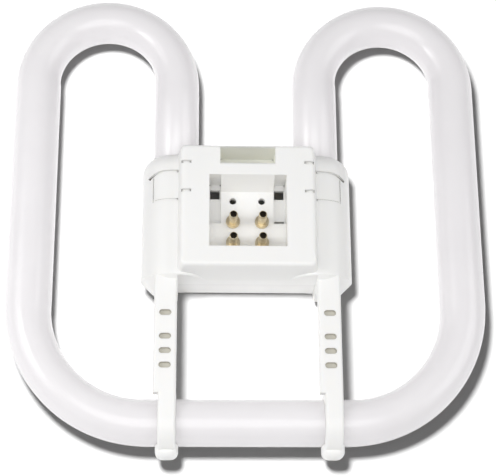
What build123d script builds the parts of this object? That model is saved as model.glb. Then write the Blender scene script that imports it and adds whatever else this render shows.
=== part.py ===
"""Square compact fluorescent lamp: a glass tube bent into two loops, held by a moulded four-pin cap.

The lamp lies on the flat back of its cap. X runs across the two loops, Y from the clips to the loop
crowns, and Z up from the back of the cap to its contact face. Millimetres.
"""

import os
from math import asin, degrees

from build123d import *

# Overall size and the tube
overall_width = 138.0  # over the outer limbs
overall_length = 140.2  # from the clip ends to the loop crowns
tube_diameter = 13.2
inner_leg_spacing = 41.4  # between the axes of the two inner legs
corner_radius = 33.7  # tube axis at the two lower corners
tube_end_depth = 26.0  # how far each tube end goes into its collar
tube_end_radius = 4.0  # rounding of the sealed ends

# Cap outline
cap_depth = 24.6  # back to contact face
axis_height = 10.0  # tube axis over the back of the cap
cap_reach = 37.0  # axis of the bottom run to the foot of the collars
cap_length = 40.6  # foot to rim of the collars
collar_wall = 3.1  # round the seat of the tube
collar_rim_wall = 0.5
shoulder_length = 4.4  # length of the rounded collar shoulder
foot_chamfer = 3.7
block_front_width = 38.0
block_base_width = 42.0
block_flare_height = 4.0  # over the tube axis, where the drafted sides begin
block_foot_inset = 3.4  # lower wall from the foot of the collars
block_foot_draft = 1.4
block_rise = 0.4  # upper wall past the rim of the collars
block_corner_radius = 1.6
block_edge_radius = 1.2
cover_edge_radius = 1.2
wall = 1.6
tube_seat_clearance = 0.1

# Socket recess in the contact face
socket_width = 22.0
socket_length = 21.4
socket_offset = 58.1  # axis of the bottom run to the middle of the socket
socket_depth = 6.4
socket_floor_thickness = 1.8
ramp_length = 3.0  # sloped upper end of the recess
channel_width = 3.4  # latch channels along both sides of the socket
channel_length = 12.6
channel_depth = 9.0  # below the contact face
window_length = 2.8  # latch window through the channel floor
window_offset = 1.6  # from the upper end of the channel
catch_length = 1.2  # smaller window at the lower end of the right channel
window_margin = 0.3
pocket_width = 15.8  # finger pocket at the upper edge of the block
pocket_length = 4.6
pocket_depth = 10.0
pocket_edge_radius = 1.0  # rounding of its lower edge
pocket_lip = 0.7  # thin wall that closes the pocket at the upper edge

# Snap tongues over the collars
tongue_offset = 71.5  # axis of the bottom run to the slit at the head of the tongue
tongue_length = 8.6  # slit to the groove at the foot of the tongue
tongue_start_angle = 48.0  # round the collar, from the side towards the front
tongue_sweep_angle = 48.0
slit_reach = 7.7  # outer end of the slit, from the axis of the collar
slit_bend = 4.4  # outer stretch of the slit that curves down
slit_fall = 1.5  # how far it curves down
slit_width = 0.9
slit_depth = 1.2
groove_width = 0.6  # shallow grooves round the rest of the tongue
groove_depth = 0.35
block_slit_length = 2.8
block_slit_spacing = 8.7
block_slit_offset = 68.3  # axis of the bottom run to the middle of the slits on the block

# Contact pins
pin_spacing_x = 8.3
pin_spacing_y = 6.35
pin_rows_offset = 53.4  # axis of the bottom run to the middle of the pins
pin_diameter = 2.4
pin_height = 7.0  # over the socket floor
pin_flange_diameter = 4.0
pin_flange_thickness = 0.9
pin_spigot_diameter = 2.0  # through the socket floor
pin_rivet_diameter = 3.4
pin_rivet_thickness = 0.5
pin_tip_radius = 0.4
pin_dimple_diameter = 1.5  # hollow end
pin_dimple_depth = 1.2
pin_bore_depth = 2.0
pin_fit_clearance = 0.05
spare_hole_diameter = 2.0  # two empty holes on the same grid as the pins

# Lead wires
lead_diameter = 0.6
lead_spacing = 4.0  # between the two leads of one tube end
lead_drop = 3.4  # straight run out of the tube end
lead_clearance = 0.5  # under the box of the socket
lead_bend_radius = 1.5
lead_bore_clearance = 0.05
lead_end_gap = 0.2

# Legs and clips
leg_middle = 23.1  # middle plane of each leg
leg_width = 6.4
leg_thickness = 3.4
leg_edge_radius = 0.8
leg_root = 4.0  # how far the leg runs up the collar
clip_width = 5.0
clip_wall = 1.9
clip_clearance = 0.1
clip_mouth = 10.0  # opening behind the tube
clip_shank = 7.0  # axis of the bottom run to the step where the leg narrows
lip_width = 6.4
lip_depth = 6.8
lip_reach = 3.4  # past the tube
lip_radius = 2.4
lip_end_radius = 2.0
leg_pocket_width = 3.4
leg_pocket_length = 1.7
leg_pocket_depth = 1.4
leg_pocket_pitch = 4.1
leg_pocket_count = 3
leg_pocket_offset = 18.8  # axis of the bottom run to the middle of the three pockets
single_pocket_offset = 29.7

# Places that follow from the sizes
tube_radius = tube_diameter / 2
bottom_run_y = -overall_length / 2 + lip_reach + clip_clearance + tube_radius
crown_y = overall_length / 2 - tube_radius
outer_limb_x = overall_width / 2 - tube_radius
inner_leg_x = inner_leg_spacing / 2
loop_radius = (outer_limb_x - inner_leg_x) / 2
loop_centre_y = crown_y - loop_radius
cap_foot_y = bottom_run_y + cap_reach
cap_rim_y = cap_foot_y + cap_length
tube_end_y = cap_rim_y - tube_end_depth
seat_radius = tube_radius + tube_seat_clearance
collar_radius = seat_radius + collar_wall
collar_rim_radius = seat_radius + collar_rim_wall
block_base_y0 = cap_foot_y + block_foot_inset
block_front_y0 = block_base_y0 + block_foot_draft
block_y1 = cap_rim_y + block_rise
flare_z = axis_height + block_flare_height
socket_y = bottom_run_y + socket_offset
socket_y0 = socket_y - socket_length / 2
socket_y1 = socket_y + socket_length / 2
socket_floor_z = cap_depth - socket_depth
platform_width = socket_width - 2 * channel_width
platform_back_z = socket_floor_z - socket_floor_thickness
channel_x = (socket_width - channel_width) / 2
channel_floor_z = cap_depth - channel_depth
channel_y0 = socket_y1 - channel_length
socket_box_width = socket_width + 2 * wall
socket_box_back_z = channel_floor_z - wall
pocket_y1 = block_y1 - pocket_lip
pocket_y0 = pocket_y1 - pocket_length
slit_y = bottom_run_y + tongue_offset
groove_y = slit_y - tongue_length
block_slit_y = bottom_run_y + block_slit_offset
collar_crown_z = axis_height + collar_radius
side_draft = (block_base_width - block_front_width) / 2 / (cap_depth - flare_z)
block_side_x = block_base_width / 2 - side_draft * (collar_crown_z - flare_z)  # at the crown of the collar
pin_y = bottom_run_y + pin_rows_offset
pin_tail_z = platform_back_z - pin_rivet_thickness
pin_bore_radius = lead_diameter / 2 + lead_bore_clearance
lead_pass_x = socket_box_width / 2 + lead_clearance
lead_pass_z = socket_box_back_z - lead_clearance - lead_diameter / 2
spare_hole_y = pin_y + 1.5 * pin_spacing_y
clip_inner_radius = tube_radius + clip_clearance
clip_outer_radius = clip_inner_radius + clip_wall
leg_front_z = axis_height + clip_outer_radius
leg_inner_x = leg_middle - leg_width / 2
clip_x = (leg_width - clip_width) / 2  # clip from the middle of the leg, flush with its right side
parting = Plane.XY.offset(axis_height)


def centred_rectangle(width, y0, y1):
    """Adds a rectangle that is centred on the lamp's middle line and runs from y0 to y1."""
    with Locations((0, (y0 + y1) / 2)):
        Rectangle(width, y1 - y0)


def block_outline(width, y0):
    """Adds the block's outline with rounded corners, from its lower wall at y0 to its upper wall."""
    with Locations((0, (y0 + block_y1) / 2)):
        RectangleRounded(width, block_y1 - y0, block_corner_radius)


# Tube: bottom run, corners, outer limbs, loops and inner legs on one plane
with BuildPart() as discharge_tube:
    with BuildLine(parting) as tube_axis:
        corner_x = outer_limb_x - corner_radius
        corner_y = bottom_run_y + corner_radius
        loop_x = outer_limb_x - loop_radius
        Line((-corner_x, bottom_run_y), (corner_x, bottom_run_y))
        for side in (1, -1):
            CenterArc((side * corner_x, corner_y), corner_radius, 270, side * 90)
            Line((side * outer_limb_x, corner_y), (side * outer_limb_x, loop_centre_y))
            CenterArc((side * loop_x, loop_centre_y), loop_radius, 0, 180)
            Line((side * inner_leg_x, loop_centre_y), (side * inner_leg_x, tube_end_y))
    with BuildSketch(Plane((inner_leg_x, tube_end_y, axis_height), z_dir=(0, 1, 0))):
        Circle(tube_radius)
    sweep(path=tube_axis.wires()[0])
    fillet(discharge_tube.faces().filter_by(GeomType.PLANE).edges(), tube_end_radius)


# Collars, as full turned bodies that both halves of the cap share
with BuildPart() as collars:
    for side in (1, -1):
        axis_x = side * inner_leg_x
        edge_x = axis_x + side * collar_radius
        rim_point = (axis_x + side * collar_rim_radius, cap_rim_y)
        with BuildSketch(parting):
            with BuildLine():
                foot = Polyline(
                    (axis_x, cap_rim_y),
                    (axis_x, cap_foot_y),
                    (edge_x - side * foot_chamfer, cap_foot_y),
                    (edge_x, cap_foot_y + foot_chamfer),
                    (edge_x, cap_rim_y - shoulder_length),
                )
                TangentArc(foot @ 1, rim_point, tangent=(0, 1))
                Line(rim_point, foot @ 0)
            make_face()
        revolve(axis=Axis((axis_x, 0, axis_height), (0, 1, 0)))
    # Between the legs the collars end flush with the lower wall of the block
    with BuildSketch(Plane.XY):
        centred_rectangle(2 * leg_inner_x, cap_foot_y, block_base_y0)
    extrude(amount=collar_crown_z, mode=Mode.SUBTRACT)


# Bores that seat the tube ends and leave room for their leads
with BuildPart() as bores:
    for side in (1, -1):
        bore_foot = Plane((side * inner_leg_x, block_base_y0 + wall, axis_height), z_dir=(0, 1, 0))
        with BuildSketch(bore_foot):
            Circle(seat_radius)
        extrude(amount=cap_length)


# Slits at the heads of the snap tongues: bands of even depth that curve down towards the side
with BuildPart() as tongue_slits:
    for side in (1, -1):
        bend_x = side * (inner_leg_x + slit_reach - slit_bend)
        with BuildSketch(parting):
            with BuildLine():
                Line((side * block_side_x, slit_y), (bend_x, slit_y))
                slit_end = (bend_x + side * slit_bend, slit_y - slit_fall)
                TangentArc((bend_x, slit_y), slit_end, tangent=(side, 0))
            trace(line_width=slit_width)
        extrude(amount=collar_radius)
    for side in (1, -1):
        with BuildSketch(Plane((side * inner_leg_x, cap_foot_y, axis_height), z_dir=(0, 1, 0))):
            Circle(collar_radius - slit_depth)
        extrude(amount=cap_length, mode=Mode.SUBTRACT)


# Leg with its clip, on the middle plane of the lamp
with BuildPart() as leg:
    step_y = bottom_run_y + clip_shank
    for x, width, y0, y1 in (
        (0, leg_width, step_y, cap_foot_y + leg_root),
        (clip_x, clip_width, bottom_run_y, step_y),
    ):
        with BuildSketch(Plane.XZ.offset(-y0)) as bar:
            with Locations((x, leg_front_z - leg_thickness / 2)):
                Rectangle(width, leg_thickness)
            fillet(bar.vertices().group_by(Axis.Y)[-1], leg_edge_radius)
        extrude(amount=y0 - y1)
    # A band round the tube, open behind it
    mouth_angle = degrees(2 * asin(clip_mouth / 2 / clip_outer_radius))
    band_start = Plane.XY.rotated((mouth_angle / 2 - 90, 0, 0))
    band_start.origin = (0, bottom_run_y, axis_height)
    with BuildSketch(band_start) as band:
        with Locations((clip_x, clip_outer_radius - clip_wall / 2)):
            Rectangle(clip_width, clip_wall)
        fillet(band.vertices().group_by(Axis.Y)[-1], leg_edge_radius)
    revolve(axis=Axis((0, bottom_run_y, axis_height), (1, 0, 0)), revolution_arc=360 - mouth_angle)
    # The lip stands out under the tube, with rounded ends
    with BuildSketch(Plane.XZ.offset(-bottom_run_y)):
        with Locations((clip_x, axis_height)):
            RectangleRounded(lip_width, lip_depth, lip_radius)
    extrude(amount=clip_inner_radius + lip_reach)
    fillet(leg.faces().sort_by(Axis.Y)[0].edges(), lip_end_radius)
    with BuildSketch(Plane.YZ.offset(clip_x - lip_width / 2)):
        with Locations((bottom_run_y, axis_height)):
            Circle(clip_inner_radius)
    extrude(amount=lip_width, mode=Mode.SUBTRACT)
    # Small moulded pockets along the front of the leg
    with BuildSketch(Plane.XY.offset(leg_front_z)):
        with Locations((0, bottom_run_y + leg_pocket_offset)):
            with GridLocations(0, leg_pocket_pitch, 1, leg_pocket_count):
                SlotOverall(leg_pocket_width, leg_pocket_length)
        with Locations((0, bottom_run_y + single_pocket_offset)):
            SlotOverall(leg_pocket_width, leg_pocket_length)
    extrude(amount=-leg_pocket_depth, mode=Mode.SUBTRACT)


# Front half of the cap, with the legs
with BuildPart() as cap_housing:
    with BuildSketch(parting):
        block_outline(block_base_width, block_base_y0)
    extrude(amount=block_flare_height)
    with BuildSketch(Plane.XY.offset(flare_z)):
        block_outline(block_base_width, block_base_y0)
    with BuildSketch(Plane.XY.offset(cap_depth)):
        block_outline(block_front_width, block_front_y0)
    loft()
    fillet(cap_housing.faces().sort_by(Axis.Z)[-1].edges(), block_edge_radius)
    add(split(collars.part, bisect_by=parting, keep=Keep.TOP, mode=Mode.PRIVATE))
    with Locations((leg_middle, 0, 0), (-leg_middle, 0, 0)):
        add(leg.part)

    # Hollow behind the contact face, and the seats of the tube
    with BuildSketch(parting):
        centred_rectangle(block_front_width - 2 * wall, block_front_y0 + wall, block_y1 - wall)
    extrude(amount=cap_depth - axis_height - wall, mode=Mode.SUBTRACT)
    add(bores.part, mode=Mode.SUBTRACT)

    # Boxes that hang from the contact face and hold the socket and the pocket
    with BuildSketch(Plane.XY.offset(cap_depth - wall)):
        centred_rectangle(socket_box_width, socket_y0 - wall, socket_y1 + wall)
    extrude(amount=-channel_depth)
    with BuildSketch(Plane.XY.offset(cap_depth - wall)):
        centred_rectangle(pocket_width + 2 * wall, socket_y1, block_y1 - wall)
    extrude(amount=-pocket_depth)

    # Socket recess, with a ramp at its upper end
    with BuildSketch(Plane.XY.offset(cap_depth)):
        centred_rectangle(socket_width, socket_y0, socket_y1 - ramp_length)
    extrude(amount=-socket_depth, mode=Mode.SUBTRACT)
    with BuildSketch(Plane.YZ):
        with BuildLine():
            Polyline(
                (socket_y1 - ramp_length, socket_floor_z),
                (socket_y1, cap_depth),
                (socket_y1 - ramp_length, cap_depth),
                close=True,
            )
        make_face()
    extrude(amount=platform_width / 2, both=True, mode=Mode.SUBTRACT)

    # Latch channels beside the platform, with windows through their floors
    for side in (1, -1):
        with BuildSketch(Plane.XY.offset(cap_depth)):
            with Locations((side * channel_x, (channel_y0 + socket_y1) / 2)):
                Rectangle(channel_width, channel_length)
        extrude(amount=-channel_depth, mode=Mode.SUBTRACT)
        with BuildSketch(Plane.XY.offset(channel_floor_z)):
            with Locations((side * channel_x, socket_y1 - window_offset - window_length / 2)):
                Rectangle(channel_width - 2 * window_margin, window_length)
        extrude(amount=-wall, mode=Mode.SUBTRACT)
    with BuildSketch(Plane.XY.offset(channel_floor_z)):
        with Locations((channel_x, channel_y0 + window_margin + catch_length / 2)):
            Rectangle(channel_width - 2 * window_margin, catch_length)
    extrude(amount=-wall, mode=Mode.SUBTRACT)

    # Platform of even thickness, with the pin holes and two spare holes on the same grid
    with BuildSketch(Plane.XY.offset(platform_back_z)):
        centred_rectangle(platform_width - 2 * wall, socket_y0, socket_y1 - wall)
    extrude(amount=-channel_depth, mode=Mode.SUBTRACT)
    with BuildSketch(Plane.XY.offset(socket_floor_z)):
        with Locations((0, pin_y)):
            with GridLocations(pin_spacing_x, pin_spacing_y, 2, 2):
                Circle(pin_spigot_diameter / 2 + pin_fit_clearance)
        with Locations((0, spare_hole_y)):
            with GridLocations(pin_spacing_x, 0, 2, 1):
                Circle(spare_hole_diameter / 2)
    extrude(amount=-socket_floor_thickness, mode=Mode.SUBTRACT)

    # Finger pocket behind a thin lip at the upper edge, with a rounded lower edge
    with BuildSketch(Plane.YZ):
        with BuildLine():
            round_y = pocket_y0 - pocket_edge_radius
            CenterArc((round_y, cap_depth - pocket_edge_radius), pocket_edge_radius, 90, -90)
            Polyline(
                (pocket_y0, cap_depth - pocket_edge_radius),
                (pocket_y0, cap_depth - pocket_depth),
                (pocket_y1, cap_depth - pocket_depth),
                (pocket_y1, cap_depth),
                (round_y, cap_depth),
            )
        make_face()
    extrude(amount=pocket_width / 2, both=True, mode=Mode.SUBTRACT)

    # A snap tongue on each side: slits on the collar and the block, and grooves round the rest of it
    add(tongue_slits.part, mode=Mode.SUBTRACT)
    for side in (1, -1):
        collar_axis = Axis((side * inner_leg_x, 0, axis_height), (0, -side, 0))
        start = Plane.XY.rotated((0, -side * tongue_start_angle, 0))
        start.origin = (side * inner_leg_x, 0, axis_height)
        groove_r = side * (collar_radius - groove_depth / 2)
        with BuildSketch(start):
            with Locations((groove_r, groove_y)):
                Rectangle(groove_depth, groove_width)
        revolve(axis=collar_axis, revolution_arc=tongue_sweep_angle, mode=Mode.SUBTRACT)
        with BuildSketch(start):
            with Locations((groove_r, (slit_y + groove_y) / 2)):
                Rectangle(groove_depth, tongue_length)
        revolve(axis=collar_axis, revolution_arc=degrees(groove_width / collar_radius), mode=Mode.SUBTRACT)
        with BuildSketch(Plane.XY.offset(cap_depth)):
            with Locations((side * (block_front_width / 2 - block_slit_length / 2), block_slit_y)):
                with GridLocations(0, block_slit_spacing, 1, 2):
                    Rectangle(block_slit_length, slit_width)
        extrude(amount=-slit_depth, mode=Mode.SUBTRACT)


# Rear half of the cap
with BuildPart() as rear_cover:
    with BuildSketch(Plane.XY):
        block_outline(block_base_width, block_base_y0)
    extrude(amount=axis_height)
    fillet(rear_cover.faces().sort_by(Axis.Z)[0].edges(), cover_edge_radius)
    add(split(collars.part, bisect_by=parting, keep=Keep.BOTTOM, mode=Mode.PRIVATE))
    with BuildSketch(Plane.XY.offset(wall)):
        centred_rectangle(block_front_width - 2 * wall, block_front_y0 + wall, block_y1 - wall)
    extrude(amount=axis_height - wall, mode=Mode.SUBTRACT)
    add(bores.part, mode=Mode.SUBTRACT)


os.makedirs("parts", exist_ok=True)
for name, piece in (
    ("discharge_tube", discharge_tube),
    ("cap_housing", cap_housing),
    ("rear_cover", rear_cover),
):
    piece.part.label = name
    export_step(piece.part, f"parts/{name}.step")


# Flanged contact pins, riveted into the platform, and the leads that end in their tails
for side, side_name in ((-1, "left"), (1, "right")):
    for row, row_name in ((-1, "lower"), (1, "upper")):
        pin_x = side * pin_spacing_x / 2
        pin_row_y = pin_y + row * pin_spacing_y / 2
        with BuildPart() as pin:
            with BuildSketch(Plane((pin_x, pin_row_y, pin_tail_z))):
                Circle(pin_rivet_diameter / 2)
            extrude(amount=pin_rivet_thickness)
            with BuildSketch(Plane((pin_x, pin_row_y, pin_tail_z))):
                Circle(pin_spigot_diameter / 2)
            extrude(amount=socket_floor_z - pin_tail_z)
            with BuildSketch(Plane((pin_x, pin_row_y, socket_floor_z))):
                Circle(pin_diameter / 2)
            extrude(amount=pin_height)
            fillet(pin.faces().sort_by(Axis.Z)[-1].edges(), pin_tip_radius)
            with BuildSketch(Plane((pin_x, pin_row_y, socket_floor_z))):
                Circle(pin_flange_diameter / 2)
            extrude(amount=pin_flange_thickness)
            with BuildSketch(Plane((pin_x, pin_row_y, socket_floor_z + pin_height))):
                Circle(pin_dimple_diameter / 2)
            extrude(amount=-pin_dimple_depth, mode=Mode.SUBTRACT)
            with BuildSketch(Plane((pin_x, pin_row_y, pin_tail_z))):
                Circle(pin_bore_radius)
            extrude(amount=pin_bore_depth, mode=Mode.SUBTRACT)
        pin.part.label = f"contact_pin_{row_name}_{side_name}"
        export_step(pin.part, f"parts/{pin.part.label}.step")

        lead_z = axis_height - row * lead_spacing / 2
        lead_start = Vector(side * inner_leg_x, tube_end_y - lead_drop, lead_z)
        pin_foot = Vector(pin_x, pin_row_y, lead_pass_z)
        share = (inner_leg_x - lead_pass_x) / (inner_leg_x - pin_spacing_x / 2)
        pass_y = lead_start.Y + share * (pin_foot.Y - lead_start.Y)
        with BuildPart() as lead:
            with BuildLine() as route:
                FilletPolyline(
                    (side * inner_leg_x, tube_end_y, lead_z),
                    lead_start,
                    (side * lead_pass_x, pass_y, lead_pass_z),
                    pin_foot,
                    (pin_x, pin_row_y, pin_tail_z + pin_bore_depth - lead_end_gap),
                    radius=lead_bend_radius,
                )
            with BuildSketch(Plane(route.line @ 0, z_dir=route.line % 0)):
                Circle(lead_diameter / 2)
            sweep()
        lead.part.label = f"lead_wire_{row_name}_{side_name}"
        export_step(lead.part, f"parts/{lead.part.label}.step")
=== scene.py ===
"""Looks of the square compact fluorescent lamp: finishes, the bent glass tube, stage, light and camera."""

from math import cos, pi, radians, sin

import bmesh
import bpy
from mathutils import Matrix, Vector


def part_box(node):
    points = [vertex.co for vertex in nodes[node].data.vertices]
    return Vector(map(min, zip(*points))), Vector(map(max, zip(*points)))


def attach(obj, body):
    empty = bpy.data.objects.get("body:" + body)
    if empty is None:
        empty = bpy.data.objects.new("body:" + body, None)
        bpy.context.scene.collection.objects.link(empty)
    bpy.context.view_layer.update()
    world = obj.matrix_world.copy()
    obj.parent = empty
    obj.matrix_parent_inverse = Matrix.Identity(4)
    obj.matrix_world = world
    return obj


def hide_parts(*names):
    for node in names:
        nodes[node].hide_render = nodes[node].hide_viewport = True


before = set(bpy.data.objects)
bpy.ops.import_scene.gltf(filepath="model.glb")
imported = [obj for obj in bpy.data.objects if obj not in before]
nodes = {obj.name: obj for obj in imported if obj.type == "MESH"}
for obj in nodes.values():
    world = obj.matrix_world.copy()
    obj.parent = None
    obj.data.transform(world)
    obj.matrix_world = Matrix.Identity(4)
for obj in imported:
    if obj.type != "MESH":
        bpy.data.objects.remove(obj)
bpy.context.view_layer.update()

MM = 0.001

# Camera, as the photograph was taken
IMAGE_WIDTH = 496
FOCAL_LENGTH_PX = 1327.8
TARGET = Vector((0.0, -5.31, 10.0)) * MM
TARGET_PX_LEFT_OF_MIDDLE = 1.744
CAMERA_DISTANCE = 388.1 * MM
CAMERA_TILT = radians(18.42)
CAMERA_YAW = radians(2.37)
CAMERA_ROLL = radians(-0.284)
SENSOR_WIDTH = 36.0
NEAREST_SEEN = 10.0 * MM

# Tube axis, beside what the frame gives
INNER_LEG_X = 20.7 * MM
CORNER_RADIUS = 33.7 * MM
TUBE_END_Y = -8.4 * MM
SECTION_POINTS = 72
LOOP_STEPS = 60
CORNER_STEPS = 36
LOOP_DRAWN_IN = (0.16 * MM, 0.68 * MM)  # outer and inner wall at the middle of the bend
CORNER_DRAWN_IN = (0.26 * MM, 0.27 * MM)

# Tints that each finish drifts between, and where along the noise each is reached
TINT_STOPS = (0.3, 0.7)
GLASS_TINTS = ((0.87, 0.85, 0.865), (0.90, 0.88, 0.895))
CAP_TINTS = ((0.945, 0.942, 0.925), (0.965, 0.962, 0.945))
COVER_TINTS = ((0.88, 0.875, 0.86), (0.91, 0.905, 0.89))
BRASS_TINTS = ((0.62, 0.52, 0.34), (0.80, 0.71, 0.52))
NICKEL_TINTS = ((0.45, 0.44, 0.42), (0.62, 0.61, 0.59))
FLOOR_TINTS = ((0.40, 0.40, 0.40), (0.41, 0.41, 0.41))

# Pockets of the cap whose floors get painted shade: middle and reach each way in millimetres, and colour
PAINTED_POCKET_SHADE = [
    ((23.1, -37.5, 17.2), (1.75, 9.8, 0.9), (0.66, 0.64, 0.57)),
    ((0.0, 15.0, 18.0), (7.9, 2.4, 5.6), (0.97, 0.97, 0.90)),
]

# Shade painted into the seams of the mouldings, where ambient occlusion finds them narrow
SEAM_REACH = 0.9 * MM
SEAM_OPENNESS = (0.25, 0.5)  # fully shaded below the first, open above the second
SEAM_SHADE_COLOUR = (0.16, 0.155, 0.14)

# Shade painted near-black over the hollow ends of the pins
PIN_END_SHADE_RADIUS = 0.95 * MM
PIN_END_SHADE_DEPTH = 3.0 * MM
PIN_END_SHADE_COLOUR = (0.045, 0.038, 0.028)

# Floor, which turns paler far from the lamp, where the light falls flatter
FLOOR_REACH = 3.0
FLOOR_TURNS_PALER = (0.25, 1.2)
FLOOR_FAR_COLOUR = (0.93, 0.93, 0.93)

# Lights: name, kind, place, strength and size. The first lights only the floor, the others the lamp
FLOOR_LIGHT = ("floor_key", "POINT", (-0.070, 0.002, 0.383), 105.0, 0.032)
LAMP_LIGHTS = [
    ("lamp_front", "AREA", (-0.020, -0.128, 0.378), 0.56, 0.3),
    ("lamp_near", "POINT", (-0.220, -0.030, 0.220), 0.5, 0.05),
    ("lamp_left", "AREA", (-0.5, -0.02, 0.45), 1.0, 0.5),
    ("lamp_right", "AREA", (0.5, -0.02, 0.45), 1.18, 0.5),
]
WORLD_STRENGTH = 0.27


# Node helpers


def new_material(name):
    """A material with its node tree and its shader."""
    material = bpy.data.materials.new(name)
    material.use_nodes = True
    tree = material.node_tree
    tree.nodes.clear()
    output = tree.nodes.new("ShaderNodeOutputMaterial")
    shader = tree.nodes.new("ShaderNodeBsdfPrincipled")
    tree.links.new(shader.outputs["BSDF"], output.inputs["Surface"])
    return material, tree, shader


def object_place(tree):
    """Where a point is on its object."""
    return tree.nodes.new("ShaderNodeTexCoord").outputs["Object"]


def noise(tree, scale, detail=3.0):
    """The value of a noise texture that is fixed to the object."""
    texture = tree.nodes.new("ShaderNodeTexNoise")
    texture.inputs["Scale"].default_value = scale
    texture.inputs["Detail"].default_value = detail
    tree.links.new(object_place(tree), texture.inputs["Vector"])
    return texture.outputs["Fac"]


def mottled(tree, scale, tints, detail=3.0):
    """A colour that drifts between two tints."""
    node = tree.nodes.new("ShaderNodeValToRGB")
    for element, position, tint in zip(node.color_ramp.elements, TINT_STOPS, tints):
        element.position = position
        element.color = (*tint, 1.0)
    tree.links.new(noise(tree, scale, detail), node.inputs["Fac"])
    return node.outputs["Color"]


def spread(tree, value, low, high, start=0.0, end=1.0):
    """Maps a value that runs from start to end onto low to high."""
    node = tree.nodes.new("ShaderNodeMapRange")
    node.inputs["From Min"].default_value = start
    node.inputs["From Max"].default_value = end
    node.inputs["To Min"].default_value = low
    node.inputs["To Max"].default_value = high
    tree.links.new(value, node.inputs["Value"])
    return node.outputs["Result"]


def bump(tree, shader, height, strength, distance):
    """Gives a shader's surface fine bumps."""
    node = tree.nodes.new("ShaderNodeBump")
    node.inputs["Strength"].default_value = strength
    node.inputs["Distance"].default_value = distance
    tree.links.new(height, node.inputs["Height"])
    tree.links.new(node.outputs["Normal"], shader.inputs["Normal"])


def calculate(tree, operation, *values):
    """The result of a math node over sockets or plain numbers."""
    node = tree.nodes.new("ShaderNodeMath")
    node.operation = operation
    for socket, value in zip(node.inputs, values):
        if isinstance(value, float):
            socket.default_value = value
        else:
            tree.links.new(value, socket)
    return node.outputs["Value"]


def length(tree, vector):
    """How long a vector is."""
    node = tree.nodes.new("ShaderNodeVectorMath")
    node.operation = "LENGTH"
    tree.links.new(vector, node.inputs[0])
    return node.outputs["Value"]


def mirrored_box(tree, centre, reach):
    """1 inside a box and its mirror image across the lamp's middle plane, 0 elsewhere."""
    split = tree.nodes.new("ShaderNodeSeparateXYZ")
    tree.links.new(object_place(tree), split.inputs["Vector"])
    places = (calculate(tree, "ABSOLUTE", split.outputs["X"]), split.outputs["Y"], split.outputs["Z"])
    x, y, z = [calculate(tree, "COMPARE", p, c * MM, r * MM) for p, c, r in zip(places, centre, reach)]
    return calculate(tree, "MULTIPLY", calculate(tree, "MULTIPLY", x, y), z)


def painted_seam_shade(tree):
    """Share of painted seam shade: 1 deep in a narrow seam, 0 on an open face."""
    openness = tree.nodes.new("ShaderNodeAmbientOcclusion")
    openness.only_local = True
    openness.inputs["Distance"].default_value = SEAM_REACH
    return spread(tree, openness.outputs["AO"], 1.0, 0.0, *SEAM_OPENNESS)


def mixed(tree, share, colour, other):
    """A colour turned towards another by a share."""
    node = tree.nodes.new("ShaderNodeMix")
    node.data_type = "RGBA"
    node.inputs["B"].default_value = (*other, 1.0)
    tree.links.new(share, node.inputs["Factor"])
    tree.links.new(colour, node.inputs["A"])
    return node.outputs["Result"]


def finish(tree, shader, tint, scale, smoothest, roughest):
    """Links a material's tint, and a roughness that drifts between two values."""
    tree.links.new(tint, shader.inputs["Base Color"])
    tree.links.new(spread(tree, noise(tree, scale), smoothest, roughest), shader.inputs["Roughness"])


# Materials


def coated_glass():
    """Clear glass over a white powder coating."""
    material, tree, shader = new_material("coated_glass")
    finish(tree, shader, mottled(tree, 60.0, GLASS_TINTS, detail=4.0), 25.0, 0.16, 0.26)
    shader.inputs["IOR"].default_value = 1.5
    shader.inputs["Subsurface Weight"].default_value = 0.4
    shader.inputs["Subsurface Radius"].default_value = (1.0, 1.0, 1.0)
    shader.inputs["Subsurface Scale"].default_value = 5.0 * MM
    bump(tree, shader, noise(tree, 900.0, detail=2.0), strength=0.04, distance=0.2 * MM)
    return material


def moulded_plastic(name, tints, painted_shade_boxes=()):
    """White moulding with a fine satin grain, shade painted into its seams, and painted shade inside each
    box.
    """
    material, tree, shader = new_material(name)
    tint = mottled(tree, 45.0, tints)
    # Painted shade: each pocket floor is turned towards a darker, warmer colour
    for centre, reach, colour in painted_shade_boxes:
        tint = mixed(tree, mirrored_box(tree, centre, reach), tint, colour)
    # Painted shade darkens the narrow seams and creases
    tint = mixed(tree, painted_seam_shade(tree), tint, SEAM_SHADE_COLOUR)
    finish(tree, shader, tint, 200.0, 0.34, 0.48)
    shader.inputs["IOR"].default_value = 1.49
    shader.inputs["Subsurface Weight"].default_value = 0.25
    shader.inputs["Subsurface Radius"].default_value = (1.0, 0.95, 0.85)
    shader.inputs["Subsurface Scale"].default_value = 1.5 * MM
    bump(tree, shader, noise(tree, 2600.0, detail=2.0), strength=0.08, distance=0.1 * MM)
    return material


def brass(name, low, high):
    """Dull brass, with shade painted near-black over the hollow end of the pin that fills the box from low
    to high.
    """
    material, tree, shader = new_material(name)
    end = tree.nodes.new("ShaderNodeMapping")
    end.vector_type = "TEXTURE"
    end.inputs["Location"].default_value = ((low.x + high.x) / 2, (low.y + high.y) / 2, high.z)
    end.inputs["Scale"].default_value = (PIN_END_SHADE_RADIUS, PIN_END_SHADE_RADIUS, PIN_END_SHADE_DEPTH)
    tree.links.new(object_place(tree), end.inputs["Vector"])
    # Painted shade: near-black over the hollow end of the pin
    painted_end_shade = calculate(tree, "LESS_THAN", length(tree, end.outputs["Vector"]), 1.0)
    tint = mixed(tree, painted_end_shade, mottled(tree, 700.0, BRASS_TINTS), PIN_END_SHADE_COLOUR)
    finish(tree, shader, tint, 1500.0, 0.3, 0.45)
    shader.inputs["Metallic"].default_value = 1.0
    bump(tree, shader, noise(tree, 5000.0), strength=0.1, distance=0.05 * MM)
    return material


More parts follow.
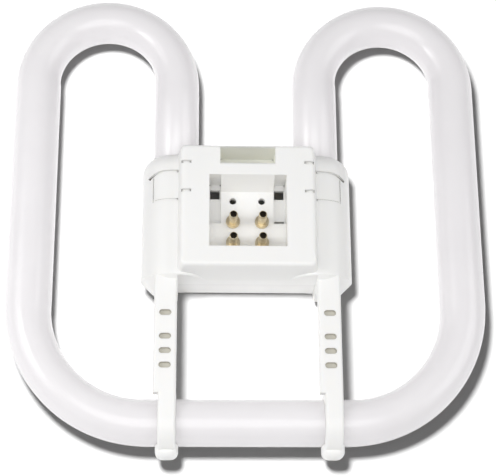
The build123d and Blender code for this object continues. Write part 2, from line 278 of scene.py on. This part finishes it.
def nickel_wire():
    """Plain drawn wire."""
    material, tree, shader = new_material("lead_wire")
    finish(tree, shader, mottled(tree, 900.0, NICKEL_TINTS), 2000.0, 0.3, 0.45)
    shader.inputs["Metallic"].default_value = 1.0
    bump(tree, shader, noise(tree, 4000.0), strength=0.1, distance=0.05 * MM)
    return material


def dress(node, material):
    """Gives a carried-over node its finish."""
    slots = nodes[node].data.materials
    slots.clear()
    slots.append(material)


lead_metal = nickel_wire()
dress("cap_housing", moulded_plastic("cap_plastic", CAP_TINTS, PAINTED_POCKET_SHADE))
dress("rear_cover", moulded_plastic("cover_plastic", COVER_TINTS))
for name in nodes:
    if name.startswith("contact_pin"):
        dress(name, brass("brass_" + name, *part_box(name)))
    if name.startswith("lead_wire"):
        dress(name, lead_metal)


# Bent glass tube


def straight(x, y, z, out_x):
    """A station on a straight stretch, where neither wall is drawn in."""
    return Vector((x, y, z)), Vector((out_x, 0, 0)), 0.0, 0.0


def bend(centre, radius, start, sweep, count, drawn_in):
    """Stations along a bend, after its first one."""
    for i in range(1, count + 1):
        angle = radians(start + sweep * i / count)
        out = Vector((cos(angle), sin(angle), 0.0))
        share = max(sin(pi * i / count), 0.0) ** 0.5
        yield centre + out * radius, out, drawn_in[0] * share, drawn_in[1] * share


def mirror(station):
    """The same station on the lamp's other side."""
    place, out, outer, inner = station
    return Vector((-place.x, place.y, place.z)), Vector((-out.x, out.y, out.z)), outer, inner


def tube_stations():
    """The tube's radius, and stations of its axis from one sealed end to the other.

    A station is a place, its outward direction, and how far the outer and the inner wall are drawn in.
    """
    low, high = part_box("discharge_tube")
    radius = (high.z - low.z) / 2
    axis_z = (high.z + low.z) / 2
    limb_x = high.x - radius
    run_y = low.y + radius
    loop_radius = (limb_x - INNER_LEG_X) / 2
    loop_centre = Vector((limb_x - loop_radius, high.y - radius - loop_radius, axis_z))
    corner_centre = Vector((limb_x - CORNER_RADIUS, run_y + CORNER_RADIUS, axis_z))
    half = [straight(INNER_LEG_X, TUBE_END_Y, axis_z, -1), straight(INNER_LEG_X, loop_centre.y, axis_z, -1)]
    half += bend(loop_centre, loop_radius, 180, -180, LOOP_STEPS, LOOP_DRAWN_IN)
    half.append(straight(limb_x, corner_centre.y, axis_z, 1))
    half += bend(corner_centre, CORNER_RADIUS, 0, -90, CORNER_STEPS, CORNER_DRAWN_IN)
    return radius, half + [mirror(station) for station in reversed(half)]


def glass_tube(material):
    """The tube with its glass drawn in a little at each bend."""
    radius, stations = tube_stations()
    mesh = bmesh.new()
    rings = []
    for place, out, outer, inner in stations:
        middle = place + out * (inner - outer) / 2
        half_width = radius - (outer + inner) / 2
        ring = []
        for k in range(SECTION_POINTS):
            angle = 2 * pi * k / SECTION_POINTS
            across = out * (half_width * cos(angle))
            ring.append(mesh.verts.new(middle + across + Vector((0, 0, radius * sin(angle)))))
        rings.append(ring)
    for a, b in zip(rings, rings[1:]):
        for k in range(SECTION_POINTS):
            n = (k + 1) % SECTION_POINTS
            mesh.faces.new((a[k], a[n], b[n], b[k]))
    mesh.faces.new(rings[0])
    mesh.faces.new(rings[-1])
    bmesh.ops.recalc_face_normals(mesh, faces=mesh.faces)
    data = bpy.data.meshes.new("glass_tube")
    mesh.to_mesh(data)
    mesh.free()
    for face in data.polygons:
        face.use_smooth = len(face.vertices) == 4
    data.materials.append(material)
    tube = bpy.data.objects.new("glass_tube", data)
    bpy.context.scene.collection.objects.link(tube)
    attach(tube, "root")
    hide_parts("discharge_tube")


glass_tube(coated_glass())


# Stage, light and camera


def stage_floor():
    """A plain pale floor under the lamp."""
    mesh = bpy.data.meshes.new("floor")
    corners = [(x * FLOOR_REACH, y * FLOOR_REACH, 0) for x, y in ((-1, -1), (1, -1), (1, 1), (-1, 1))]
    mesh.from_pydata(corners, [], [(0, 1, 2, 3)])
    floor = bpy.data.objects.new("floor", mesh)
    bpy.context.scene.collection.objects.link(floor)
    material, tree, shader = new_material("floor_white")
    far = spread(tree, length(tree, object_place(tree)), 0.0, 1.0, *FLOOR_TURNS_PALER)
    tint = mixed(tree, far, mottled(tree, 3.0, FLOOR_TINTS), FLOOR_FAR_COLOUR)
    tree.links.new(tint, shader.inputs["Base Color"])
    shader.inputs["Roughness"].default_value = 0.9
    mesh.materials.append(material)
    return floor


def receivers(name, floor, state):
    """A light-linking collection that takes in or leaves out the floor."""
    collection = bpy.data.collections.new(name)
    collection.objects.link(floor)
    collection.collection_objects[0].light_linking.link_state = state
    return collection


def add_light(name, kind, place, strength, size, linked):
    """A light that faces the lamp."""
    data = bpy.data.lights.new(name, kind)
    data.energy = strength
    if kind == "AREA":
        data.shape = "DISK"
        data.size = size
    else:
        data.shadow_soft_size = size
    light = bpy.data.objects.new(name, data)
    bpy.context.scene.collection.objects.link(light)
    light.location = place
    light.rotation_euler = (-Vector(place)).to_track_quat("-Z", "Y").to_euler()
    light.light_linking.receiver_collection = linked
    return light


def keep_even(light):
    """Makes a light as strong far off as near."""
    light.data.use_nodes = True
    tree = light.data.node_tree
    falloff = tree.nodes.new("ShaderNodeLightFalloff")
    falloff.inputs["Strength"].default_value = 1.0
    tree.links.new(falloff.outputs["Constant"], tree.nodes["Emission"].inputs["Strength"])


floor = stage_floor()
on_floor = receivers("light_on_floor", floor, "INCLUDE")
off_floor = receivers("light_on_lamp", floor, "EXCLUDE")
keep_even(add_light(*FLOOR_LIGHT, on_floor))
for light in LAMP_LIGHTS:
    add_light(*light, off_floor)

world = bpy.data.worlds.new("studio")
world.use_nodes = True
background = world.node_tree.nodes["Background"]
background.inputs["Color"].default_value = (1.0, 1.0, 1.0, 1.0)
background.inputs["Strength"].default_value = WORLD_STRENGTH
scene = bpy.context.scene
scene.world = world
scene.view_settings.view_transform = "Standard"


def add_camera():
    """The camera where the photograph was taken from."""
    tilt, yaw = CAMERA_TILT, CAMERA_YAW
    back = Vector((-sin(yaw) * cos(tilt), -sin(tilt), cos(yaw) * cos(tilt)))
    level = Vector((cos(yaw), 0.0, sin(yaw)))
    right = level * cos(CAMERA_ROLL) + back.cross(level) * sin(CAMERA_ROLL)
    data = bpy.data.cameras.new("camera")
    data.sensor_width = SENSOR_WIDTH
    data.lens = SENSOR_WIDTH * FOCAL_LENGTH_PX / IMAGE_WIDTH
    data.shift_x = TARGET_PX_LEFT_OF_MIDDLE / IMAGE_WIDTH
    data.clip_start = NEAREST_SEEN
    camera = bpy.data.objects.new("camera", data)
    scene.collection.objects.link(camera)
    turn = Matrix((right, back.cross(right), back)).transposed()
    camera.matrix_world = Matrix.Translation(TARGET + back * CAMERA_DISTANCE) @ turn.to_4x4()
    scene.camera = camera


add_camera()
